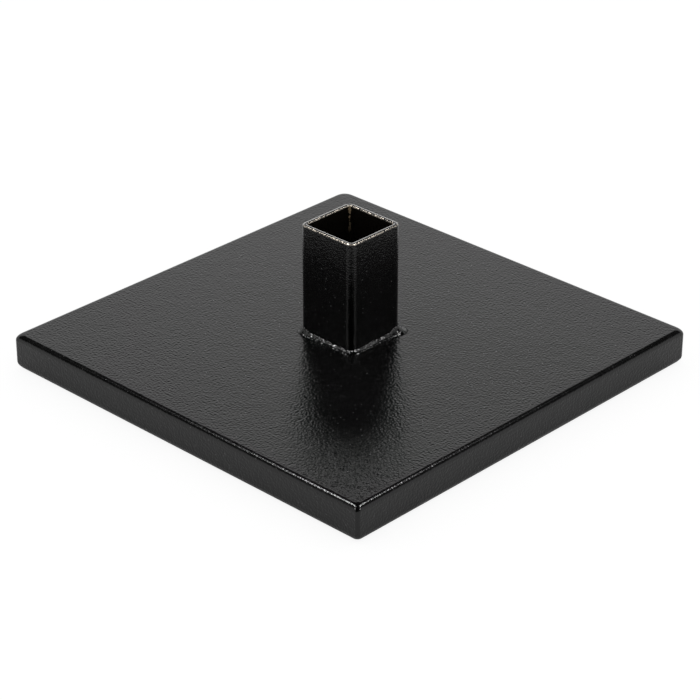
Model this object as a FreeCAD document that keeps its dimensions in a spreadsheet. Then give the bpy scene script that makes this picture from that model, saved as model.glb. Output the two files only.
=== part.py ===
import FreeCAD, Part
import math
import os
import Sketcher

# Base plate for a small flagpole: a thick square steel plate with rounded edges, a short square tube
# that stands upright at its middle and takes the pole, and the weld that runs round the tube's foot.
# Lengths are in millimetres. +Z is up, and the origin is the centre of the plate's underside.

SHEET = "Sizes"

# The points of a sketch's line or arc, and the sketch's own level axis, whose start is its origin.
START, END, CENTRE = 1, 2, 3
LEVEL_AXIS = -1

LEVEL_TOLERANCE = 1e-6

# Each row is an alias, its value and what it measures.
DIMENSIONS = [
    ("plate_side", 200.0, "side of the square plate"),
    ("plate_thickness", 16.0, "thickness of the plate"),
    ("plate_corner_radius", 5.2, "radius of the plate's four upright corners"),
    ("plate_top_radius", 3.5, "rounding of the plate's top edge"),
    ("plate_bottom_radius", 4.5, "rounding of the plate's bottom edge"),
    ("tube_width", 30.0, "outside width of the square tube"),
    ("tube_wall", 2.5, "wall of the tube"),
    ("tube_height", 50.0, "height of the tube above the plate"),
    ("tube_bend_radius", 0.8, "inside radius of the tube's four corners"),
    ("tube_rim_radius", 0.8, "rounding of the tube's rim, outside and inside"),
    ("weld_leg", 2.5, "reach of the weld over the plate, from the tube's face"),
    ("weld_rise", 2.5, "reach of the weld up the tube's face, from the plate"),
    ("weld_crown", 0.15, "bulge of the weld's face past the straight line between its toes"),
]


def size_of(alias):
    """The name by which an expression reads one size from the sheet."""
    return SHEET + "." + alias


TUBE_BORE = size_of("tube_width") + " - 2 * " + size_of("tube_wall")
TUBE_CORNER_RADIUS = size_of("tube_bend_radius") + " + " + size_of("tube_wall")


def make_sheet(doc):
    """Put every driving dimension in the sheet, one row each."""
    sheet = doc.addObject("Spreadsheet::Sheet", SHEET)
    for row, (alias, value, meaning) in enumerate(DIMENSIONS, start=1):
        sheet.set("A" + str(row), meaning)
        sheet.set("B" + str(row), str(value))
        sheet.setAlias("B" + str(row), alias)
    doc.recompute()
    return sheet


def make_body(doc, name):
    """A body whose label is the name of the sub-part."""
    body = doc.addObject("PartDesign::Body", name)
    body.Label = name
    return body


def make_sketch(body, name, role):
    """A sketch on one of the body's own origin planes."""
    planes = [item for item in body.Origin.OriginFeatures if item.Role == role]
    sketch = body.newObject("Sketcher::SketchObject", name)
    sketch.AttachmentSupport = [(planes[0], "")]
    sketch.MapMode = "FlatFace"
    return sketch


def bind_size(sketch, name, rule, kind, *where_and_value):
    """Add a named dimension to the sketch and bind it to the sheet by a rule."""
    number = sketch.addConstraint(Sketcher.Constraint(kind, *where_and_value))
    sketch.renameConstraint(number, name)
    sketch.setExpression("Constraints." + name, rule)


def draw_rounded_square(sketch, label, width, width_rule, radius, radius_rule):
    """Draw a square with rounded corners about the sketch's origin, its two sizes bound to the sheet."""
    far = width / 2
    near = far - radius
    lines = [
        Part.LineSegment(FreeCAD.Vector(far, -near, 0), FreeCAD.Vector(far, near, 0)),
        Part.LineSegment(FreeCAD.Vector(near, far, 0), FreeCAD.Vector(-near, far, 0)),
        Part.LineSegment(FreeCAD.Vector(-far, near, 0), FreeCAD.Vector(-far, -near, 0)),
        Part.LineSegment(FreeCAD.Vector(-near, -far, 0), FreeCAD.Vector(near, -far, 0)),
    ]
    centres = [(near, near), (-near, near), (-near, -near), (near, -near)]
    outline = []
    for quarter, (line, (x, y)) in enumerate(zip(lines, centres)):
        circle = Part.Circle(FreeCAD.Vector(x, y, 0), FreeCAD.Vector(0, 0, 1), radius)
        outline.append(sketch.addGeometry(line, False))
        arc = Part.ArcOfCircle(circle, math.radians(90 * quarter), math.radians(90 * (quarter + 1)))
        outline.append(sketch.addGeometry(arc, False))

    sides, corners = outline[0::2], outline[1::2]
    for here, after in zip(outline, outline[1:] + outline[:1]):
        sketch.addConstraint(Sketcher.Constraint("Tangent", here, END, after, START))
    for upright, level in zip(sides[0::2], sides[1::2]):
        sketch.addConstraint(Sketcher.Constraint("Vertical", upright))
        sketch.addConstraint(Sketcher.Constraint("Horizontal", level))
    for corner in corners[1:]:
        sketch.addConstraint(Sketcher.Constraint("Equal", corners[0], corner))
    sketch.addConstraint(Sketcher.Constraint("Equal", sides[0], sides[1]))
    sketch.addConstraint(Sketcher.Constraint("Symmetric", corners[0], CENTRE, corners[2], CENTRE,
                                             LEVEL_AXIS, START))
    bind_size(sketch, label + "_width", width_rule, "DistanceX", sides[2], START, sides[0], START, width)
    bind_size(sketch, label + "_radius", radius_rule, "Radius", corners[0], radius)


def edges_at_height(feature, height):
    """Names of the feature's edges that lie level at one height."""
    names = []
    for number, edge in enumerate(feature.Shape.Edges, start=1):
        box = edge.BoundBox
        if max(abs(box.ZMin - height), abs(box.ZMax - height)) < LEVEL_TOLERANCE:
            names.append("Edge" + str(number))
    return names


def round_edges(body, name, base, edges, radius_rule):
    """Round the named edges of the base feature with one radius from the sheet."""
    fillet = body.newObject("PartDesign::Fillet", name)
    fillet.Base = (base, edges)
    fillet.setExpression("Radius", radius_rule)
    return fillet


def make_base_plate(doc, sheet):
    """The plate: a padded rounded square, its top and bottom edges rounded by different radii."""
    body = make_body(doc, "base_plate")
    outline = make_sketch(body, "plate_outline", "XY_Plane")
    draw_rounded_square(outline, "plate", sheet.plate_side, size_of("plate_side"),
                        sheet.plate_corner_radius, size_of("plate_corner_radius"))
    slab = body.newObject("PartDesign::Pad", "plate_slab")
    slab.Profile = outline
    slab.setExpression("Length", size_of("plate_thickness"))
    doc.recompute()
    rounded = round_edges(body, "plate_top_edge", slab, edges_at_height(slab, sheet.plate_thickness),
                          size_of("plate_top_radius"))
    doc.recompute()
    round_edges(body, "plate_bottom_edge", rounded, edges_at_height(rounded, 0),
                size_of("plate_bottom_radius"))
    return body


def make_socket_tube(doc, sheet):
    """The tube: one wall of even thickness round a square bore, standing on the plate's top face."""
    body = make_body(doc, "socket_tube")
    section = make_sketch(body, "tube_section", "XY_Plane")
    bore = sheet.tube_width - 2 * sheet.tube_wall
    draw_rounded_square(section, "outside", sheet.tube_width, size_of("tube_width"),
                        sheet.tube_bend_radius + sheet.tube_wall, TUBE_CORNER_RADIUS)
    draw_rounded_square(section, "bore", bore, TUBE_BORE,
                        sheet.tube_bend_radius, size_of("tube_bend_radius"))
    stub = body.newObject("PartDesign::Pad", "tube_stub")
    stub.Profile = section
    stub.setExpression("Length", size_of("tube_height"))
    doc.recompute()
    round_edges(body, "tube_rim", stub, edges_at_height(stub, sheet.tube_height),
                size_of("tube_rim_radius"))
    body.setExpression("Placement.Base.z", size_of("plate_thickness"))
    return body


def draw_weld_section(sketch, sheet):
    """Draw the weld's section beside the tube's face: two straight legs and a bulging face."""
    foot = sheet.tube_width / 2
    corner = FreeCAD.Vector(foot, 0, 0)
    toe = FreeCAD.Vector(foot + sheet.weld_leg, 0, 0)
    top = FreeCAD.Vector(foot, sheet.weld_rise, 0)
    chord = top - toe
    outward = FreeCAD.Vector(chord.y, -chord.x, 0).normalize()
    crown = (toe + top) / 2 + outward * sheet.weld_crown

    under = sketch.addGeometry(Part.LineSegment(corner, toe), False)
    face = sketch.addGeometry(Part.Arc(toe, crown, top), False)
    beside = sketch.addGeometry(Part.LineSegment(top, corner), False)
    middle = sketch.addGeometry(Part.LineSegment(toe, top), True)
    peak = sketch.addGeometry(Part.LineSegment((toe + top) / 2, crown), True)

    sketch.addConstraint([
        Sketcher.Constraint("Coincident", under, END, face, START),
        Sketcher.Constraint("Coincident", face, END, beside, START),
        Sketcher.Constraint("Coincident", beside, END, under, START),
        Sketcher.Constraint("Coincident", middle, START, face, START),
        Sketcher.Constraint("Coincident", middle, END, face, END),
        Sketcher.Constraint("Vertical", beside),
        Sketcher.Constraint("Horizontal", under),
        Sketcher.Constraint("PointOnObject", under, START, LEVEL_AXIS),
        Sketcher.Constraint("Symmetric", middle, START, middle, END, peak, START),
        Sketcher.Constraint("Perpendicular", middle, peak),
        Sketcher.Constraint("PointOnObject", peak, END, face),
    ])
    bind_size(sketch, "half_width", size_of("tube_width") + " / 2",
              "DistanceX", LEVEL_AXIS, START, under, START, foot)
    bind_size(sketch, "leg", size_of("weld_leg"), "DistanceX", under, START, under, END, sheet.weld_leg)
    bind_size(sketch, "rise", size_of("weld_rise"), "DistanceY", beside, END, beside, START, sheet.weld_rise)
    bind_size(sketch, "crown", size_of("weld_crown"), "Distance", peak, sheet.weld_crown)


def make_weld_bead(doc, sheet):
    """The weld: its section carried once round the tube's foot, seated on the tube and the plate."""
    body = make_body(doc, "weld_bead")
    path = make_sketch(body, "weld_path", "XY_Plane")
    draw_rounded_square(path, "foot", sheet.tube_width, size_of("tube_width"),
                        sheet.tube_bend_radius + sheet.tube_wall, TUBE_CORNER_RADIUS)
    section = make_sketch(body, "weld_section", "XZ_Plane")
    draw_weld_section(section, sheet)
    run = body.newObject("PartDesign::AdditivePipe", "weld_run")
    run.Profile = section
    run.Spine = path
    run.Mode = "Frenet"
    body.setExpression("Placement.Base.z", size_of("plate_thickness"))
    return body


def check_model(doc, bodies):
    """Stop with a message if any object failed or any sub-part isn't one sound solid."""
    for item in doc.Objects:
        if "Invalid" in item.State or "Error" in item.State:
            raise RuntimeError(item.Name + " did not rebuild: " + ", ".join(item.State))
    for body in bodies:
        shape = body.Shape
        if shape.isNull() or not shape.isValid() or len(shape.Solids) != 1:
            raise RuntimeError(body.Label + " is not one valid solid")


def write_parts(bodies):
    """Write each sub-part to a file of its own and print its volume and its height range."""
    os.makedirs("parts", exist_ok=True)
    for body in bodies:
        shape = body.Shape
        shape.exportStep(os.path.join("parts", body.Label + ".step"))
        box = shape.BoundBox
        print(body.Label, "volume", round(shape.Volume, 1), "mm3,",
              "height from", round(box.ZMin, 3), "to", round(box.ZMax, 3))


def main():
    doc = FreeCAD.newDocument("flagpole_base_plate")
    sheet = make_sheet(doc)
    bodies = [
        make_base_plate(doc, sheet),
        make_socket_tube(doc, sheet),
        make_weld_bead(doc, sheet),
    ]
    doc.recompute()
    check_model(doc, bodies)
    write_parts(bodies)


main()
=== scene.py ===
# %% [markdown]
# # A flagpole base plate, dressed for a studio picture
#
# The object is a thick square steel plate with rounded edges, a short square tube that stands upright
# at its middle and takes the foot of a flagpole, and the weld round the tube's foot. All of it carries
# one black powder coat. Nearly everything that the eye reads on such a coat is reflection: the pale
# floor and the bright lower walls of the room make it grey, the dark ceiling makes it black, and a few
# lamps draw the thin bright lines along its edges. So the work is in three things: true edge radii, a
# coat with the right small bumps, and a room that is bright low down and dark above.

# %% Load the frame and keep its box
import math

import bmesh
import bpy
from mathutils import Matrix, Vector, noise


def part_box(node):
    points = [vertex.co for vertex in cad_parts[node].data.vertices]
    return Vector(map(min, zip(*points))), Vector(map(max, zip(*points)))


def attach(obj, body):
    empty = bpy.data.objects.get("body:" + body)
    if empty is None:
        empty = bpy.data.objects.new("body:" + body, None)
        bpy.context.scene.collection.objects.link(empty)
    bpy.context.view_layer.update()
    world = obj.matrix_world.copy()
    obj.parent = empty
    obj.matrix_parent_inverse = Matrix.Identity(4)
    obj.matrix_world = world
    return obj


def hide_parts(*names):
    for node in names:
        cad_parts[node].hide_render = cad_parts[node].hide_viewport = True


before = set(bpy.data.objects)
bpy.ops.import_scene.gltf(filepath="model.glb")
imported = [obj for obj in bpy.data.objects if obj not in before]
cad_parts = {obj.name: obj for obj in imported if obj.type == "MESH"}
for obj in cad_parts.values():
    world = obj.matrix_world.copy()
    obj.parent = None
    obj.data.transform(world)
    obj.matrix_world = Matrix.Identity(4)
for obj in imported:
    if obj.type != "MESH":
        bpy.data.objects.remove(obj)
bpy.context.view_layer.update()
MM = 0.001
print("nodes in the frame:", sorted(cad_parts))

# %% [markdown]
# ## Sizes from the frame
#
# The overall sizes are read from the boxes of the three solids, so that each piece made here stands
# where its solid stands. A box doesn't tell an edge's radius, so the radii are written here in
# millimetres. They come from close looks at the picture. The plate's lower edge is a little rounder than
# its upper edge. Its four upright corners aren't alike, as edges ground by hand seldom are: each has its
# own radius, kept under the signs of its x and y, with the sharpest at the front and the softest behind.

# %% Sizes
plate_low, plate_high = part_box("base_plate")
tube_low, tube_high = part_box("socket_tube")
weld_low, weld_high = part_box("weld_bead")

PLATE_SIDE = plate_high.x - plate_low.x
PLATE_TOP = plate_high.z
TUBE_WIDTH = tube_high.x - tube_low.x
TUBE_TOP = tube_high.z
WELD_LEG = weld_high.x - tube_high.x
WELD_RISE = weld_high.z - PLATE_TOP

PLATE_CORNERS = {(1, -1): 1.6 * MM, (-1, -1): 2.2 * MM, (1, 1): 2.2 * MM, (-1, 1): 3.2 * MM}
PLATE_TOP_EDGE = 2.6 * MM
PLATE_BOTTOM_EDGE = 3.2 * MM
TUBE_WALL = 2.5 * MM
TUBE_BEND = 0.8 * MM
TUBE_CORNER = TUBE_BEND + TUBE_WALL
TUBE_RIM = 0.8 * MM

print("plate side and top, mm:", round(PLATE_SIDE / MM, 2), round(PLATE_TOP / MM, 2))
print("tube width and top, mm:", round(TUBE_WIDTH / MM, 2), round(TUBE_TOP / MM, 2))
print("weld leg and rise, mm:", round(WELD_LEG / MM, 2), round(WELD_RISE / MM, 2))

# %% [markdown]
# ## Helpers for the meshes
#
# Every piece starts as a bmesh and ends as a mesh object at the origin, with smooth shading. A wide flat
# face beside a narrow rounded edge would be shaded as if it bulged, so each piece gets the Weighted
# Normal modifier, which lets the large faces decide how the light falls on the points they share. Edges
# are picked by where they lie, to within a thousandth of a millimetre.

# %% Helpers for the meshes
TINY = 0.001 * MM


def box_of(width, low, high):
    """A bmesh of an upright square block about the Z axis."""
    bm = bmesh.new()
    bmesh.ops.create_cube(bm, size=1.0)
    bmesh.ops.scale(bm, verts=bm.verts, vec=(width, width, high - low))
    bmesh.ops.translate(bm, verts=bm.verts, vec=(0, 0, (high + low) / 2))
    return bm


def climbs(edge):
    """Whether an edge's two ends lie at different heights."""
    return abs(edge.verts[0].co.z - edge.verts[1].co.z) > TINY


def level_edges(bm, height):
    """The edges that lie level at one height."""
    return [e for e in bm.edges if all(abs(v.co.z - height) < TINY for v in e.verts)]


def round_off(bm, edges, radius, segments):
    """Round some edges with a true quarter circle."""
    bmesh.ops.bevel(bm, geom=edges, offset=radius, offset_type="OFFSET", affect="EDGES",
                    segments=segments, profile=0.5, material=-1, clamp_overlap=False)


def open_edges(bm):
    """How many edges don't join exactly two faces: none on a closed shape."""
    return sum(len(e.link_faces) != 2 for e in bm.edges)


def finish_piece(bm, name, node):
    """Turn a bmesh into a smooth object that rides on the root and stands for its CAD node."""
    print(name, "- faces:", len(bm.faces), "- open edges:", open_edges(bm))
    bmesh.ops.recalc_face_normals(bm, faces=bm.faces)
    mesh = bpy.data.meshes.new(name)
    bm.to_mesh(mesh)
    bm.free()
    mesh.shade_smooth()
    piece = bpy.data.objects.new(name, mesh)
    bpy.context.scene.collection.objects.link(piece)
    weighted = piece.modifiers.new("even_light", "WEIGHTED_NORMAL")
    weighted.mode = "FACE_AREA"
    weighted.weight = 100
    weighted.keep_sharp = True
    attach(piece, "root")
    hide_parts(node)
    return piece


# %% [markdown]
# ## The plate
#
# The real plate is cut from thick steel and its edges are rounded before it is coated. A block with bevels
# makes the same shape: first the loop round the top face, then the loop round the bottom face, and last
# the four upright corners. By then an upright corner is a chain of short edges that climbs from the
# bottom face to the top face, over the lines where the first two bevels meet, and the last bevels follow
# that chain. A bevel with a profile of 0.5 is a true quarter circle. Ten segments keep the thin highlight
# along an edge free of steps, and five are enough for the short corners. A bevel over such a chain can
# leave a point a thousandth of a millimetre or two outside the block, so all points are kept inside it.

# %% The plate
EDGE_SEGMENTS = 10
PLATE_CORNER_SEGMENTS = 5


def corner_edges(bm, x_sign, y_sign):
    """The edges that climb over one upright corner, from the bottom face to the top face."""
    return [e for e in bm.edges if climbs(e)
            and all(abs(v.co.x * x_sign - v.co.y * y_sign) < TINY < v.co.x * x_sign for v in e.verts)]


def keep_inside(bm, half, low, high):
    """Set points that stand outside the block back on its faces."""
    for v in bm.verts:
        v.co.x = max(-half, min(half, v.co.x))
        v.co.y = max(-half, min(half, v.co.y))
        v.co.z = max(low, min(high, v.co.z))


def make_plate():
    """The slab, with its edges and corners rounded."""
    bm = box_of(PLATE_SIDE, 0.0, PLATE_TOP)
    round_off(bm, level_edges(bm, PLATE_TOP), PLATE_TOP_EDGE, EDGE_SEGMENTS)
    round_off(bm, level_edges(bm, 0.0), PLATE_BOTTOM_EDGE, EDGE_SEGMENTS)
    for (x_sign, y_sign), radius in PLATE_CORNERS.items():
        round_off(bm, corner_edges(bm, x_sign, y_sign), radius, PLATE_CORNER_SEGMENTS)
    keep_inside(bm, PLATE_SIDE / 2, 0.0, PLATE_TOP)
    return finish_piece(bm, "coated_plate", "base_plate")


plate = make_plate()

# %% [markdown]
# ## The tube
#
# The tube is cold-formed, so its wall bends round each corner with a small radius inside and a larger
# one outside. The outside is drawn first, as a block with rounded corners and no ends. The solidify
# operator then grows the wall inwards, which keeps it even all the way round and gives the inner corners
# their smaller radius by itself. The rim is sawn and deburred by hand, so after its edges are rounded it
# is cut into short lengths and gets a few hundredths of a millimetre of unevenness.

# %% The tube
TUBE_CORNER_SEGMENTS = 8
RIM_SEGMENTS = 6
RIM_CUTS = 40
RIM_UNEVEN = 0.06 * MM
RIM_WAVE = 2.2 * MM


def roughen_rim(bm):
    """Cut the rim's long edges into short ones and lower its points by a smooth random amount."""
    long_edges = [e for e in bm.edges if e.verts[0].co.z > TUBE_TOP - 2 * TUBE_RIM
                  and not climbs(e) and e.calc_length() > TUBE_WIDTH / 2]
    bmesh.ops.subdivide_edges(bm, edges=long_edges, cuts=RIM_CUTS, use_grid_fill=True)
    for v in bm.verts:
        if v.co.z > TUBE_TOP - TUBE_RIM / 2:
            v.co.z -= RIM_UNEVEN * (0.5 + 0.5 * noise.noise(v.co / RIM_WAVE))


def make_tube():
    """The open square tube: one even wall with a rounded, slightly uneven rim."""
    bm = box_of(TUBE_WIDTH, PLATE_TOP, TUBE_TOP)
    round_off(bm, [e for e in bm.edges if climbs(e)], TUBE_CORNER, TUBE_CORNER_SEGMENTS)
    bm.normal_update()
    ends = [f for f in bm.faces if abs(f.normal.z) > 0.5]
    bmesh.ops.delete(bm, geom=ends, context="FACES_ONLY")
    bmesh.ops.solidify(bm, geom=bm.faces[:], thickness=TUBE_WALL)
    rim = [e for e in level_edges(bm, TUBE_TOP) if any(abs(f.normal.z) < 0.5 for f in e.link_faces)]
    round_off(bm, rim, TUBE_RIM, RIM_SEGMENTS)
    roughen_rim(bm)
    return finish_piece(bm, "coated_tube", "socket_tube")


tube = make_tube()

# %% [markdown]
# ## The weld
#
# A weld run is laid down drop by drop. Its face leaves the tube steeply and flares out flat where it
# wets the plate. The section is drawn once beside the tube's face and carried round the foot with the
# spin operator: a spin with no angle and a step along a side makes a straight run, and a quarter turn
# makes a corner. The run starts and ends at the middle of one side, where its two ends are joined.

# %% The weld's section
FACE_CURVE = [(0.62, 0.00), (0.54, 0.03), (0.46, 0.09), (0.40, 0.17), (0.33, 0.26), (0.25, 0.36),
              (0.17, 0.46), (0.08, 0.56), (0.00, 0.66)]


def weld_section(bm):
    """Draw the section beside the tube's face on +X, in shares of the weld's leg and rise."""
    face_x = TUBE_WIDTH / 2
    ring = [bm.verts.new((face_x, 0, PLATE_TOP))]
    for out, up in FACE_CURVE:
        ring.append(bm.verts.new((face_x + WELD_LEG * out, 0, PLATE_TOP + WELD_RISE * up)))
    print("weld - points of its section:", len(ring))
    return ring + [bm.edges.new((a, b)) for a, b in zip(ring, ring[1:] + ring[:1])]


# %% The weld's run
RUN_STEP = 0.4 * MM
CORNER_STEPS = 16
CORNER_CENTRE = TUBE_WIDTH / 2 - TUBE_CORNER


def carry_round(bm, geom):
    """Carry the section once round the tube's foot and close it on itself."""
    near = CORNER_CENTRE
    steps = round(near / RUN_STEP)
    runs = [(0, near, steps)] + [(side, 2 * near, 2 * steps) for side in (1, 2, 3)] + [(0, near, steps)]
    for index, (side, length, count) in enumerate(runs):
        turn = Matrix.Rotation(side * math.pi / 2, 3, "Z")
        geom = bmesh.ops.spin(bm, geom=geom, cent=(0, 0, 0), axis=(0, 0, 1), angle=0.0, steps=count,
                              dvec=turn @ Vector((0, length / count, 0)), use_merge=False,
                              use_duplicate=False)["geom_last"]
        if index < len(runs) - 1:
            geom = bmesh.ops.spin(bm, geom=geom, cent=turn @ Vector((near, near, 0)), axis=(0, 0, 1),
                                  angle=math.pi / 2, steps=CORNER_STEPS, dvec=(0, 0, 0), use_merge=False,
                                  use_duplicate=False)["geom_last"]
    bmesh.ops.remove_doubles(bm, verts=bm.verts, dist=TINY)
    print("weld - points round the foot:", len(bm.verts))


# %% [markdown]
# ### The weld's lumps
#
# A real weld is never even. Slow random lumps and faint ripples, one for each drop, scale the section
# about the line where plate and tube meet, so that the weld stays seated on both. Where the torch turned
# slowly, at the left and the right corner, the metal climbed the tube and spread over the plate, and it
# spread widest at the right. There the face is smoother too, because the pool stayed liquid for longer.

# %% The weld's lumps
LUMP_SIZE = 3.2 * MM
LUMP_DEPTH = 0.2
LUMP_STRETCH = 0.5
RIPPLE_PITCH = 1.7 * MM
RIPPLE_DEPTH = 0.035
RIPPLE_WANDER = 4 * MM
FLARED_CORNERS = {
    "left": {"at": Vector((-1, -1)) * TUBE_WIDTH / 2, "spread": 0.2, "flare": 0.5, "climb": 1.1},
    "right": {"at": Vector((1, 1)) * TUBE_WIDTH / 2, "spread": 0.3, "flare": 1.5, "climb": 1.4},
}
FLARE_REACH = 5 * MM
FLARE_CALM = 0.6


def lay_drop(v):
    """Swell or shrink the weld at one point, by its place along the run."""
    near = CORNER_CENTRE
    core = Vector((max(-near, min(near, v.co.x)), max(-near, min(near, v.co.y))))
    out = Vector((v.co.x, v.co.y)) - core
    reach = out.length - TUBE_CORNER
    foot = core + out.normalized() * TUBE_CORNER
    lump = noise.noise(Vector((foot.x, foot.y, v.co.z * LUMP_STRETCH)) / LUMP_SIZE)
    ripple = math.sin(2 * math.pi * (foot.x - foot.y + RIPPLE_WANDER * lump) / RIPPLE_PITCH)
    up = (v.co.z - PLATE_TOP) / (WELD_RISE * FACE_CURVE[-1][1])
    spread, climb, calm = 1.0, 1.0, 0.0
    for corner in FLARED_CORNERS.values():
        nearness = math.exp(-((foot - corner["at"]).length / FLARE_REACH) ** 2)
        spread += (corner["spread"] + corner["flare"] * (1 - up) ** 2) * nearness
        climb += corner["climb"] * nearness
        calm = max(calm, nearness)
    grow = 1 + (LUMP_DEPTH * lump + RIPPLE_DEPTH * ripple) * (1 - FLARE_CALM * calm)
    v.co.x, v.co.y = core + out.normalized() * (TUBE_CORNER + reach * grow * spread)
    v.co.z = PLATE_TOP + (v.co.z - PLATE_TOP) * grow * climb


def make_weld():
    """The whole weld, closed on itself, with its lumps and its two flared corners."""
    bm = bmesh.new()
    carry_round(bm, weld_section(bm))
    for v in bm.verts:
        lay_drop(v)
    widest = max(v.co.x for v in bm.verts) - TUBE_WIDTH / 2
    print("weld - widest reach past the tube's face, mm:", round(widest / MM, 2))
    return finish_piece(bm, "welded_foot", "weld_bead")


weld = make_weld()

# %% [markdown]
# ## The tools for a coat
#
# A finish is a tree of shader nodes, and a few short helpers keep it readable: one adds a node, others do
# sums with values, step smoothly from one value to another, make bumps, scatter dots and lay one colour
# over another. The Mix node keeps its sockets for every kind of data in one list, so its sockets for
# numbers and for colours are found by their place in that list.

# %% The tools for a coat
MIX_FACTOR = 0
MIX_NUMBERS = (2, 3)
MIX_COLOURS = (6, 7)
MIX_COLOUR_RESULT = 2


def add_node(tree, kind, **settings):
    """Add a shader node; a setting that names one of its inputs sets that input's value."""
    node = tree.nodes.new(kind)
    for key, value in settings.items():
        if key in node.inputs:
            node.inputs[key].default_value = value
        else:
            setattr(node, key, value)
    return node


def feed(tree, value, slot):
    """Give an input a plain value, or link another node's output to it."""
    if isinstance(value, bpy.types.NodeSocket):
        tree.links.new(value, slot)
    else:
        slot.default_value = value


def calculate(tree, operation, first, second=0.0):
    """A Math node on one or two values, each a socket or a number."""
    node = add_node(tree, "ShaderNodeMath", operation=operation)
    feed(tree, first, node.inputs[0])
    feed(tree, second, node.inputs[1])
    return node.outputs[0]


def multiply(tree, first, *others):
    """The product of two or more values."""
    for other in others:
        first = calculate(tree, "MULTIPLY", first, other)
    return first


def vector_math(tree, operation, vector, fixed=(0, 0, 0)):
    """A Vector Math node on a vector and a fixed one; gives a number where the operation does."""
    node = add_node(tree, "ShaderNodeVectorMath", operation=operation)
    feed(tree, vector, node.inputs[0])
    feed(tree, fixed, node.inputs[1])
    return node.outputs["Value" if operation in ("DOT_PRODUCT", "LENGTH") else "Vector"]


def ramp(tree, value, low, high, low_result=0.0, high_result=1.0):
    """A smooth step from one result to the other while the value goes from low to high."""
    node = add_node(tree, "ShaderNodeMapRange", interpolation_type="SMOOTHSTEP")
    node.inputs["From Min"].default_value = low
    node.inputs["From Max"].default_value = high
    node.inputs["To Min"].default_value = low_result
    node.inputs["To Max"].default_value = high_result
    tree.links.new(value, node.inputs["Value"])
    return node.outputs["Result"]


def object_place(tree):
    """The place of a point on the piece, in metres from the origin, as a vector."""
    return add_node(tree, "ShaderNodeTexCoord").outputs["Object"]


def split(tree, vector):
    """The node whose outputs are a vector's X, Y and Z."""
    node = add_node(tree, "ShaderNodeSeparateXYZ")
    tree.links.new(vector, node.inputs[0])
    return node


# %% Bumps, dots and colours
def noise_layer(tree, place, size, height, detail=0.0):
    """Bumps about as wide as the size; the result runs from 0 to the height given."""
    layer = add_node(tree, "ShaderNodeTexNoise", Scale=1 / size, Detail=detail, Roughness=0.5)
    tree.links.new(place, layer.inputs["Vector"])
    return multiply(tree, layer.outputs["Fac"], height)


def dots(tree, place, spacing, radius, share):
    """Round dots scattered over the surface: 1 at a dot's middle and 0 outside it."""
    cells = add_node(tree, "ShaderNodeTexVoronoi", Scale=1 / spacing, Randomness=1.0)
    tree.links.new(place, cells.inputs["Vector"])
    chosen = add_node(tree, "ShaderNodeSeparateColor")
    tree.links.new(cells.outputs["Color"], chosen.inputs[0])
    kept = calculate(tree, "LESS_THAN", chosen.outputs[0], share)
    dome = ramp(tree, cells.outputs["Distance"], 0.0, radius / spacing, 1.0, 0.0)
    return multiply(tree, dome, kept)


def paint_over(tree, under, colour, mask):
    """Lay one colour over another where the mask is 1."""
    mix = add_node(tree, "ShaderNodeMix", data_type="RGBA")
    feed(tree, mask, mix.inputs[MIX_FACTOR])
    feed(tree, under, mix.inputs[MIX_COLOURS[0]])
    feed(tree, colour, mix.inputs[MIX_COLOURS[1]])
    return mix.outputs[MIX_COLOUR_RESULT]


def source_of(slot):
    """The output that is linked to an input."""
    return slot.links[0].from_socket


def dress(piece, material):
    """Put a finish on a piece."""
    piece.data.materials.append(material)
    print(piece.name, "wears", material.name, "- shader nodes:", len(material.node_tree.nodes))


# %% [markdown]
# ## The powder coat
#
# Powder is sprayed on dry and melts into a skin with small soft bumps, called orange peel. The colour is
# nearly pure black, so the bumps only show because they tilt the reflection. Three sizes of noise feed
# one Bump node: broad waves, the orange peel itself and a finer grain. Two kinds of dots are added to
# them: pimples, where a grain lies under the skin, and a few pinholes, where gas escaped. A third kind of
# dot is paler than the coat. It is partly dust that stuck to the surface and partly painted glints: pale
# specks that stand in for the sparks of light on the bumps. Slow noise in the roughness makes some
# patches glossier than others. A dot is given by its spacing, its radius and the share of the places
# that hold one.

# %% The powder coat
COAT_COLOUR = (0.0002, 0.0002, 0.0002, 1.0)
COAT_IOR = 1.5
COAT_ROUGHNESS = 0.18
WAVE_SIZE = 6.0 * MM
WAVE_HEIGHT = 0.04 * MM
PEEL_SIZE = 0.95 * MM
PEEL_HEIGHT = 0.145 * MM
GRAIN_SIZE = 0.45 * MM
GRAIN_HEIGHT = 0.04 * MM
PIMPLES = (2.0 * MM, 0.28 * MM, 0.5)
PIMPLE_HEIGHT = 0.12 * MM
PINHOLES = (7.0 * MM, 0.5 * MM, 0.5)
PINHOLE_DEPTH = 0.12 * MM
# Pale specks: partly dust that stuck on, partly painted glints.
DUST_AND_GLINTS = (2.5 * MM, 0.32 * MM, 0.6)
DUST_AND_GLINT_COLOUR = (0.12, 0.12, 0.12, 1.0)
PATCH_SIZE = 5 * MM
PATCH_CHANGE = 0.06


def coat_height(tree, place, fineness):
    """The height of the coat's surface: waves, orange peel, grain, pimples and pinholes."""
    height = noise_layer(tree, place, WAVE_SIZE, WAVE_HEIGHT)
    for size, depth in ((PEEL_SIZE, PEEL_HEIGHT), (GRAIN_SIZE, GRAIN_HEIGHT)):
        height = calculate(tree, "ADD", height, noise_layer(tree, place, size / fineness, depth / fineness))
    pimples = multiply(tree, dots(tree, place, *PIMPLES), PIMPLE_HEIGHT)
    height = calculate(tree, "ADD", height, pimples)
    pinholes = multiply(tree, dots(tree, place, *PINHOLES), PINHOLE_DEPTH)
    return calculate(tree, "SUBTRACT", height, pinholes)


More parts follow.
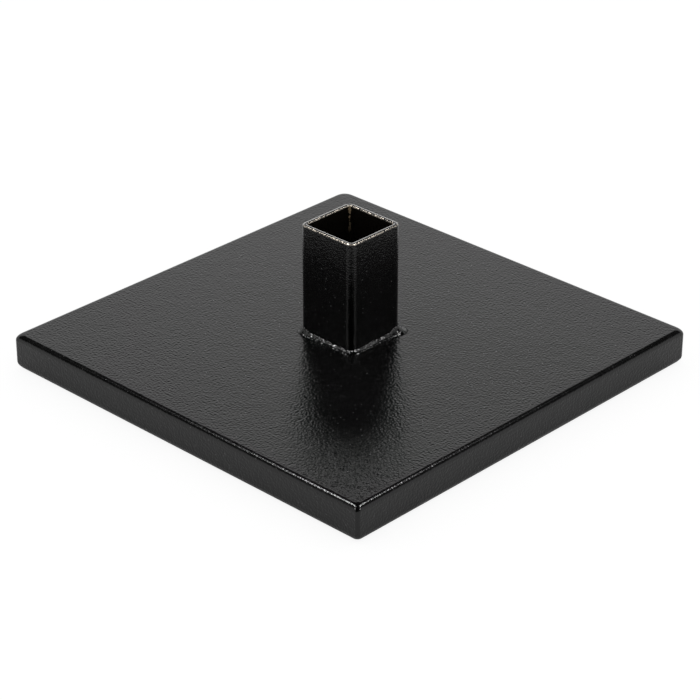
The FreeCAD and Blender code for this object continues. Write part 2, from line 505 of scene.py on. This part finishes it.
def powder_coat(name, fineness=1.0, roughness=COAT_ROUGHNESS):
    """The black coat; its peel and grain are smaller by the fineness, and as steep as before."""
    material = bpy.data.materials.new(name)
    material.use_nodes = True
    tree = material.node_tree
    shader = tree.nodes["Principled BSDF"]
    shader.inputs["IOR"].default_value = COAT_IOR
    place = object_place(tree)
    bump = add_node(tree, "ShaderNodeBump", Strength=1.0, Distance=1.0)
    tree.links.new(coat_height(tree, place, fineness), bump.inputs["Height"])
    tree.links.new(bump.outputs["Normal"], shader.inputs["Normal"])
    # Pale specks over the black coat: partly dust, partly painted glints.
    colour = paint_over(tree, COAT_COLOUR, DUST_AND_GLINT_COLOUR, dots(tree, place, *DUST_AND_GLINTS))
    tree.links.new(colour, shader.inputs["Base Color"])
    patches = noise_layer(tree, place, PATCH_SIZE, PATCH_CHANGE, 1.0)
    patches = calculate(tree, "ADD", patches, roughness - PATCH_CHANGE / 2)
    tree.links.new(patches, shader.inputs["Roughness"])
    return material


def bump_input(tree):
    """The input that takes the height of a coat's surface."""
    return tree.nodes["Principled BSDF"].inputs["Normal"].links[0].from_node.inputs["Height"]


# %% [markdown]
# ## The plate's coat
#
# On a rounded edge the molten skin pulls itself smooth, so the bright line along the plate's upper edge
# is nearly unbroken. The bumps there keep less than a third of their height. The mean height is taken off
# before they are scaled down, because fading a layer with its mean would bend the surface at the fade.
# The plate is the same on all sides, so its place is folded into one quarter first, and the larger of
# x and y tells how near the edge a point lies.

# %% The plate's coat
EDGE_CALM = 0.3
MEAN_BUMP = 0.11 * MM
CALM_START = PLATE_SIDE / 2 - PLATE_TOP_EDGE - 0.8 * MM
CALM_FULL = PLATE_SIDE / 2 - PLATE_TOP_EDGE + 0.4 * MM


def plate_coat():
    """The coat on the plate, which runs smooth over the rounded upper edge."""
    material = powder_coat("plate_powder")
    tree = material.node_tree
    folded = split(tree, vector_math(tree, "ABSOLUTE", object_place(tree)))
    outer = calculate(tree, "MAXIMUM", folded.outputs["X"], folded.outputs["Y"])
    outer = ramp(tree, outer, CALM_START, CALM_FULL)
    upper = ramp(tree, folded.outputs["Z"], PLATE_TOP - PLATE_TOP_EDGE, PLATE_TOP - PLATE_TOP_EDGE / 2)
    calm = ramp(tree, multiply(tree, outer, upper), 0.0, 1.0, 1.0, EDGE_CALM)
    surface = bump_input(tree)
    height = calculate(tree, "SUBTRACT", source_of(surface), MEAN_BUMP)
    tree.links.new(multiply(tree, height, calm), surface)
    return material


dress(plate, plate_coat())

# %% [markdown]
# ## The weld's coat
#
# The weld carries spatter and small drops that are too fine for its mesh, and the coat melts over them
# into a glossier skin. So the same coat gets two more sizes of noise, between the weld's toe on the plate
# and its top, and a lower roughness, which together make the small sparks of light. Towards the two flared
# corners the noise fades to a tenth, because the metal there ran smooth.

# %% The weld's coat
WELD_ROUGHNESS = 0.09
SPATTER_SIZES = ((1.8 * MM, 0.8 * MM), (0.8 * MM, 0.36 * MM))
SPATTER_TOE = PLATE_TOP + 0.15 * MM
SPATTER_FULL = PLATE_TOP + 0.6 * MM
SMOOTH_START = TUBE_WIDTH - 7 * MM
SMOOTH_FULL = TUBE_WIDTH - 2 * MM
SMOOTH_REST = 0.1


def weld_coat():
    """The coat over the weld, whose face is rough between its toes."""
    material = powder_coat("weld_powder", roughness=WELD_ROUGHNESS)
    tree = material.node_tree
    place = object_place(tree)
    sides = split(tree, place)
    raised = ramp(tree, sides.outputs["Z"], SPATTER_TOE, SPATTER_FULL)
    sideways = calculate(tree, "ABSOLUTE", calculate(tree, "ADD", sides.outputs["X"], sides.outputs["Y"]))
    rough = multiply(tree, raised, ramp(tree, sideways, SMOOTH_START, SMOOTH_FULL, 1.0, SMOOTH_REST))
    surface = bump_input(tree)
    height = source_of(surface)
    for size, depth in SPATTER_SIZES:
        lumps = multiply(tree, noise_layer(tree, place, size, depth), rough)
        height = calculate(tree, "ADD", height, lumps)
    tree.links.new(height, surface)
    return material


dress(weld, weld_coat())

# %% [markdown]
# ## The tube's coat
#
# Outside, the tube wears the same coat as the plate, a little finer. Sprayed powder hardly reaches into a
# narrow bore, and it draws back from sharp edges, so the bore is brownish and bare steel shows down its
# corners near the rim. That pale steel is also a painted highlight. The rim has bright edges, which are
# partly painted highlights. All of it is painted by place: the height, the distance from the middle of the
# wall, and the side that a face is turned to. Along the edges that face the back, pale metal is painted as
# an even sheen. The other edges are chipped to worn steel here and there, and all through at the front
# corner, and that worn steel also paints bright highlight lines. How near that corner a point lies is
# measured along x and y added up.
#
# The inner and outer corners of the wall are arcs about the same four centres. So the distance from the
# square that joins those centres tells how deep in the wall a point lies, on the flats and in the corners
# alike. The sum of x and y, both taken as positive, grows towards a corner.

# %% Where a point lies in the tube's wall
WALL_MIDDLE = TUBE_BEND + TUBE_WALL / 2
OVER_ANY_HEIGHT = 1.0


def wall_place(tree, place):
    """How far a point lies from the square of the corners' centres, and its x and y added up."""
    folded = vector_math(tree, "ABSOLUTE", place)
    past = vector_math(tree, "SUBTRACT", folded, (CORNER_CENTRE, CORNER_CENTRE, OVER_ANY_HEIGHT))
    across = vector_math(tree, "LENGTH", vector_math(tree, "MAXIMUM", past))
    return across, vector_math(tree, "DOT_PRODUCT", folded, (1, 1, 0))


print("wall: inner face, middle and outer face, mm:",
      [round(depth / MM, 2) for depth in (TUBE_BEND, WALL_MIDDLE, TUBE_CORNER)])

# %% The bore, and its bare corners with their painted highlight
BORE_TINT = (0.005, 0.0042, 0.003, 1.0)
BORE_START = TUBE_BEND + 0.25 * MM
BORE_FULL = TUBE_BEND + 0.1 * MM
# Golden steel down the bore's corners: partly bare steel, partly a painted highlight.
BARE_STEEL_AND_PAINTED_HIGHLIGHT = (0.56, 0.43, 0.27, 1.0)
BARE_METAL = 0.6
BARE_START = 0.5 * MM
BARE_FULL = 0.95 * MM
BARE_DEPTH = 13 * MM
BARE_FULL_DEPTH = 3 * MM
BLOTCH_SIZE = 1.4 * MM
BLOTCH_REACH = 1.6 * MM
BORE_CORNER = 2 * (CORNER_CENTRE + TUBE_BEND * math.sqrt(0.5))
print("bore: x and y added up at a corner, mm:", round(BORE_CORNER / MM, 2))


def bare_steel_and_painted_highlight(tree, place, height, corner, bore):
    """Bare steel down the bore's corners, partly a painted highlight: ragged, and fading with the depth
    below the rim.
    """
    ragged = calculate(tree, "ADD", corner, noise_layer(tree, place, BLOTCH_SIZE, BLOTCH_REACH, 2.0))
    bare_and_highlight = ramp(tree, ragged, BORE_CORNER + BARE_START, BORE_CORNER + BARE_FULL)
    shallow = ramp(tree, height, TUBE_TOP - BARE_DEPTH, TUBE_TOP - BARE_FULL_DEPTH)
    return multiply(tree, bare_and_highlight, shallow, bore)


# %% The rim's edges
# Worn steel on the rim: real chips, and also painted highlight lines.
WORN_STEEL_AND_HIGHLIGHT = (0.60, 0.54, 0.46, 1.0)
# A pale metal painted as a sheen on the rim's edges that face the back.
PAINTED_SHEEN_COLOUR = (0.85, 0.84, 0.82, 1.0)
PAINTED_SHEEN_SHARE = 0.9
RIM_LOW = TUBE_TOP - 0.5 * MM
RIM_HIGH = TUBE_TOP - 0.25 * MM
WORN_START = 0.5 * MM
WORN_FULL = 0.7 * MM
SHEEN_START = 0.2 * MM
SHEEN_FULL = 0.35 * MM
CHIP_SIZE = 0.6 * MM
CHIP_START = 0.44
CHIP_FULL = 0.54
FRONT_START = 4 * MM
FRONT_FULL = 3.2 * MM
TURN_BLUR = 1 * MM * MM


def rim_edges(tree, place, height, across, from_middle):
    """Where the rim wears down to steel, partly as painted highlight lines, and where a painted sheen lies
    on it.
    """
    upper = ramp(tree, height, RIM_LOW, RIM_HIGH)
    backwards = vector_math(tree, "DOT_PRODUCT", place, (-1, 1, 0))
    outward = calculate(tree, "SUBTRACT", across, WALL_MIDDLE)
    turned = ramp(tree, multiply(tree, backwards, outward), -TURN_BLUR, TURN_BLUR)
    chips = ramp(tree, noise_layer(tree, place, CHIP_SIZE, 1.0, 1.0), CHIP_START, CHIP_FULL)
    front = ramp(tree, backwards, FRONT_FULL - TUBE_WIDTH, FRONT_START - TUBE_WIDTH, 1.0, 0.0)
    chips = calculate(tree, "MAXIMUM", chips, front)
    edge = multiply(tree, ramp(tree, from_middle, WORN_START, WORN_FULL), upper)
    # Worn steel: chips here and there and at the front corner, which also paint the rim's highlight lines.
    worn_and_highlight = multiply(tree, edge, chips, calculate(tree, "SUBTRACT", 1.0, turned))
    # The painted sheen, on the edges that face away from the front.
    painted_sheen = multiply(tree, ramp(tree, from_middle, SHEEN_START, SHEEN_FULL, 0.0, PAINTED_SHEEN_SHARE), upper, turned)
    return worn_and_highlight, painted_sheen


# %% The tube's coat
TUBE_FINENESS = 1.6
METAL_DULLNESS = 0.15
RIM_DOME = 0.35 / MM


def tube_coat():
    """The tube's coat: thinly coated bore, bared corners, rim wear to steel, partly painted highlights, a
    painted rim sheen, a slightly domed rim face.
    """
    material = powder_coat("tube_powder", fineness=TUBE_FINENESS)
    tree = material.node_tree
    shader = tree.nodes["Principled BSDF"]
    place = object_place(tree)
    height = split(tree, place).outputs["Z"]
    across, corner = wall_place(tree, place)
    from_middle = calculate(tree, "ABSOLUTE", calculate(tree, "SUBTRACT", across, WALL_MIDDLE))
    bore = ramp(tree, across, BORE_FULL, BORE_START, 1.0, 0.0)
    bare_and_highlight = bare_steel_and_painted_highlight(tree, place, height, corner, bore)
    worn_and_highlight, painted_sheen = rim_edges(tree, place, height, across, from_middle)

    colour = source_of(shader.inputs["Base Color"])
    # The bore's golden corners, the rim's worn steel and its pale sheen are partly painted highlights.
    for paint, mask in ((BORE_TINT, bore), (BARE_STEEL_AND_PAINTED_HIGHLIGHT, bare_and_highlight), (WORN_STEEL_AND_HIGHLIGHT, worn_and_highlight), (PAINTED_SHEEN_COLOUR, painted_sheen)):
        colour = paint_over(tree, colour, paint, mask)
    tree.links.new(colour, shader.inputs["Base Color"])
    steel = calculate(tree, "MAXIMUM", worn_and_highlight, painted_sheen)
    metal = calculate(tree, "MAXIMUM", multiply(tree, bare_and_highlight, BARE_METAL), steel)
    tree.links.new(metal, shader.inputs["Metallic"])
    dull = multiply(tree, calculate(tree, "MAXIMUM", bare_and_highlight, steel), METAL_DULLNESS)
    dull = calculate(tree, "ADD", source_of(shader.inputs["Roughness"]), dull)
    tree.links.new(dull, shader.inputs["Roughness"])

    surface = bump_input(tree)
    dome = multiply(tree, from_middle, from_middle, -RIM_DOME)
    tree.links.new(calculate(tree, "ADD", source_of(surface), dome), surface)
    return material


dress(tube, tube_coat())

# %% [markdown]
# ## The room
#
# What the coat reflects is the room: bright walls low down and a dark ceiling. The room leans back, so
# that the walls reach higher behind the object than in front of it, and they are brightest along the line
# from the camera through the object. A matt surface gathers light from all round, so scattered rays see
# one soft light instead, and the floor near the plate darkens gently without a hard shadow. Straight rays
# from the camera see plain white, which gives the clean background.

# %% The room
WALL_LIGHT = 0.9
WALL_GLOW = 0.2
GLOW_WIDTH = 0.3
CEILING_LIGHT = 0.02
SOFT_LIGHT = 0.95
WALL_TOP = math.radians(14)
CEILING_FOOT = math.radians(25)
WALL_LEAN = math.radians(17)
CAMERA_AZIMUTH = math.radians(43.859)


def direction(azimuth, elevation):
    """The direction from the object towards an azimuth and an elevation."""
    level = math.cos(elevation)
    return Vector((math.sin(azimuth) * level, -math.cos(azimuth) * level, math.sin(elevation)))


def wall_brightness(tree):
    """How bright the room is in each direction."""
    towards = add_node(tree, "ShaderNodeTexCoord").outputs["Generated"]
    rise = vector_math(tree, "DOT_PRODUCT", towards, direction(CAMERA_AZIMUTH, math.pi / 2 - WALL_LEAN))
    aside = vector_math(tree, "DOT_PRODUCT", towards, direction(CAMERA_AZIMUTH + math.pi / 2, 0))
    glow = ramp(tree, calculate(tree, "ABSOLUTE", aside), 0, GLOW_WIDTH, WALL_LIGHT + WALL_GLOW, WALL_LIGHT)
    lit = ramp(tree, rise, math.sin(WALL_TOP), math.sin(CEILING_FOOT), 1, 0)
    return calculate(tree, "ADD", multiply(tree, glow, lit), CEILING_LIGHT)


def make_room():
    """The world: the room for reflections, soft light for scattered rays, white for the camera."""
    world = bpy.data.worlds.new("room")
    world.use_nodes = True
    bpy.context.scene.world = world
    tree = world.node_tree
    tree.nodes.clear()
    rays = add_node(tree, "ShaderNodeLightPath")
    soft = add_node(tree, "ShaderNodeMix")
    feed(tree, rays.outputs["Is Diffuse Ray"], soft.inputs[MIX_FACTOR])
    feed(tree, wall_brightness(tree), soft.inputs[MIX_NUMBERS[0]])
    feed(tree, SOFT_LIGHT, soft.inputs[MIX_NUMBERS[1]])
    room = add_node(tree, "ShaderNodeBackground")
    tree.links.new(soft.outputs[0], room.inputs["Strength"])
    white = add_node(tree, "ShaderNodeBackground")
    mix = add_node(tree, "ShaderNodeMixShader")
    tree.links.new(rays.outputs["Is Camera Ray"], mix.inputs["Fac"])
    tree.links.new(room.outputs[0], mix.inputs[1])
    tree.links.new(white.outputs[0], mix.inputs[2])
    output = add_node(tree, "ShaderNodeOutputWorld")
    tree.links.new(mix.outputs[0], output.inputs["Surface"])
    print("room: walls fade from", round(math.degrees(WALL_TOP)), "to",
          round(math.degrees(CEILING_FOOT)), "degrees up")


make_room()

# %% [markdown]
# ## The floor
#
# The floor is one plain pale sheet. Part of what the camera sees of it is its own glow, which lifts it
# to the white of the background, and the rest is matt paint, which keeps the soft shadow round the plate.
# It lies a twentieth of a millimetre below the object, because two surfaces at the same height show
# through each other in patches, and it is clear from below, so that a view of the underside isn't hidden.

# %% The floor
FLOOR_SIZE = 12.0
FLOOR_COLOUR = (0.88, 0.88, 0.88, 1.0)
FLOOR_GLOW = 0.8
FLOOR_GLOW_STRENGTH = 1.1
FLOOR_GAP = 0.05 * MM


def floor_paint():
    """Matt pale paint that glows for the camera and is clear from below."""
    material = bpy.data.materials.new("pale_floor")
    material.use_nodes = True
    tree = material.node_tree
    tree.nodes.remove(tree.nodes["Principled BSDF"])
    matt = add_node(tree, "ShaderNodeBsdfDiffuse", Color=FLOOR_COLOUR)
    glow = add_node(tree, "ShaderNodeEmission", Strength=FLOOR_GLOW_STRENGTH)
    rays = add_node(tree, "ShaderNodeLightPath")
    both = add_node(tree, "ShaderNodeMixShader")
    tree.links.new(multiply(tree, rays.outputs["Is Camera Ray"], FLOOR_GLOW), both.inputs["Fac"])
    tree.links.new(matt.outputs[0], both.inputs[1])
    tree.links.new(glow.outputs[0], both.inputs[2])
    side = add_node(tree, "ShaderNodeNewGeometry")
    clear = add_node(tree, "ShaderNodeBsdfTransparent")
    from_below = add_node(tree, "ShaderNodeMixShader")
    tree.links.new(side.outputs["Backfacing"], from_below.inputs["Fac"])
    tree.links.new(both.outputs[0], from_below.inputs[1])
    tree.links.new(clear.outputs[0], from_below.inputs[2])
    tree.links.new(from_below.outputs[0], tree.nodes["Material Output"].inputs["Surface"])
    return material


def make_floor():
    """A square sheet just below the object."""
    bm = bmesh.new()
    bmesh.ops.create_grid(bm, x_segments=1, y_segments=1, size=FLOOR_SIZE / 2)
    bmesh.ops.translate(bm, verts=bm.verts, vec=(0, 0, -FLOOR_GAP))
    mesh = bpy.data.meshes.new("floor")
    bm.to_mesh(mesh)
    bm.free()
    floor = bpy.data.objects.new("floor", mesh)
    bpy.context.scene.collection.objects.link(floor)
    dress(floor, floor_paint())


make_floor()

# %% [markdown]
# ## The camera
#
# The picture is taken from above one corner with a long lens. The angles, the distance and the lens were
# worked out from the plate's outline: its four edges run to two vanishing points, and the distance
# between opposite corners fixes how far away the camera stands. The aim is where the middle of the
# picture lies, in shares of the plate's side from the middle of its underside.

# %% The camera
CAMERA_ELEVATION = math.radians(28.32)
CAMERA_ROLL = math.radians(0.053)
CAMERA_DISTANCE = 5.589 * PLATE_SIDE
CAMERA_LENS = 135.8
CAMERA_SENSOR = 36.0
AIM_RIGHT = -0.0007 * PLATE_SIDE
AIM_UP = 0.0307 * PLATE_SIDE


def make_camera():
    """A camera that looks at the object along the direction worked out from its outline."""
    back = direction(CAMERA_AZIMUTH, CAMERA_ELEVATION)
    right = Vector((math.cos(CAMERA_AZIMUTH), math.sin(CAMERA_AZIMUTH), 0))
    up = back.cross(right)
    turn = Matrix.Rotation(CAMERA_ROLL, 3, back)
    right, up = turn @ right, turn @ up
    lens = bpy.data.cameras.new("camera")
    lens.lens = CAMERA_LENS
    lens.sensor_width = CAMERA_SENSOR
    camera = bpy.data.objects.new("camera", lens)
    bpy.context.scene.collection.objects.link(camera)
    pose = Matrix((right, up, back)).transposed().to_4x4()
    pose.translation = back * CAMERA_DISTANCE + right * AIM_RIGHT + up * AIM_UP
    camera.matrix_world = pose
    bpy.context.scene.camera = camera
    print("camera: distance, m:", round(pose.translation.length, 3))


make_camera()

# %% [markdown]
# ## The lamps
#
# Four soft lamps stand in two pairs, to the left and the right of the line from the camera: one pair
# high up and one pair lower and nearer the camera. A glossy surface shows a lamp only where it is turned
# half way between the lamp and the camera, so the lamps draw the thin lines on the rounded edges, the
# bright spots at the corners and the sparks on the weld. They add no light to matt surfaces, which keeps
# the floor even.

# %% The lamps
LAMP_DISTANCE = 0.9
HIGH_LAMPS = {"side": math.radians(89), "elevation": math.radians(59), "size": 0.28, "power": 5.2}
LOW_LAMPS = {"side": math.radians(58), "elevation": math.radians(30), "size": 0.25, "power": 1.5}


def make_lamp(name, azimuth, elevation, size, power):
    """A round lamp that faces the object from one direction."""
    light = bpy.data.lights.new(name, "AREA")
    light.shape = "DISK"
    light.size = size
    light.energy = power
    lamp = bpy.data.objects.new(name, light)
    bpy.context.scene.collection.objects.link(lamp)
    place = direction(azimuth, elevation) * LAMP_DISTANCE
    lamp.location = place
    lamp.rotation_euler = place.to_track_quat("Z", "Y").to_euler()
    lamp.visible_diffuse = False


for hand, turn in (("left", -1), ("right", 1)):
    for height, pair in (("high", HIGH_LAMPS), ("low", LOW_LAMPS)):
        azimuth = CAMERA_AZIMUTH + turn * pair["side"]
        make_lamp(height + "_" + hand + "_lamp", azimuth, pair["elevation"], pair["size"], pair["power"])
        print(height, hand, "lamp: azimuth, degrees:", round(math.degrees(azimuth), 1))

# %% [markdown]
# ## The view
#
# Colours are shown as they are, with the Standard view.

# %% The view
bpy.context.scene.view_settings.view_transform = "Standard"
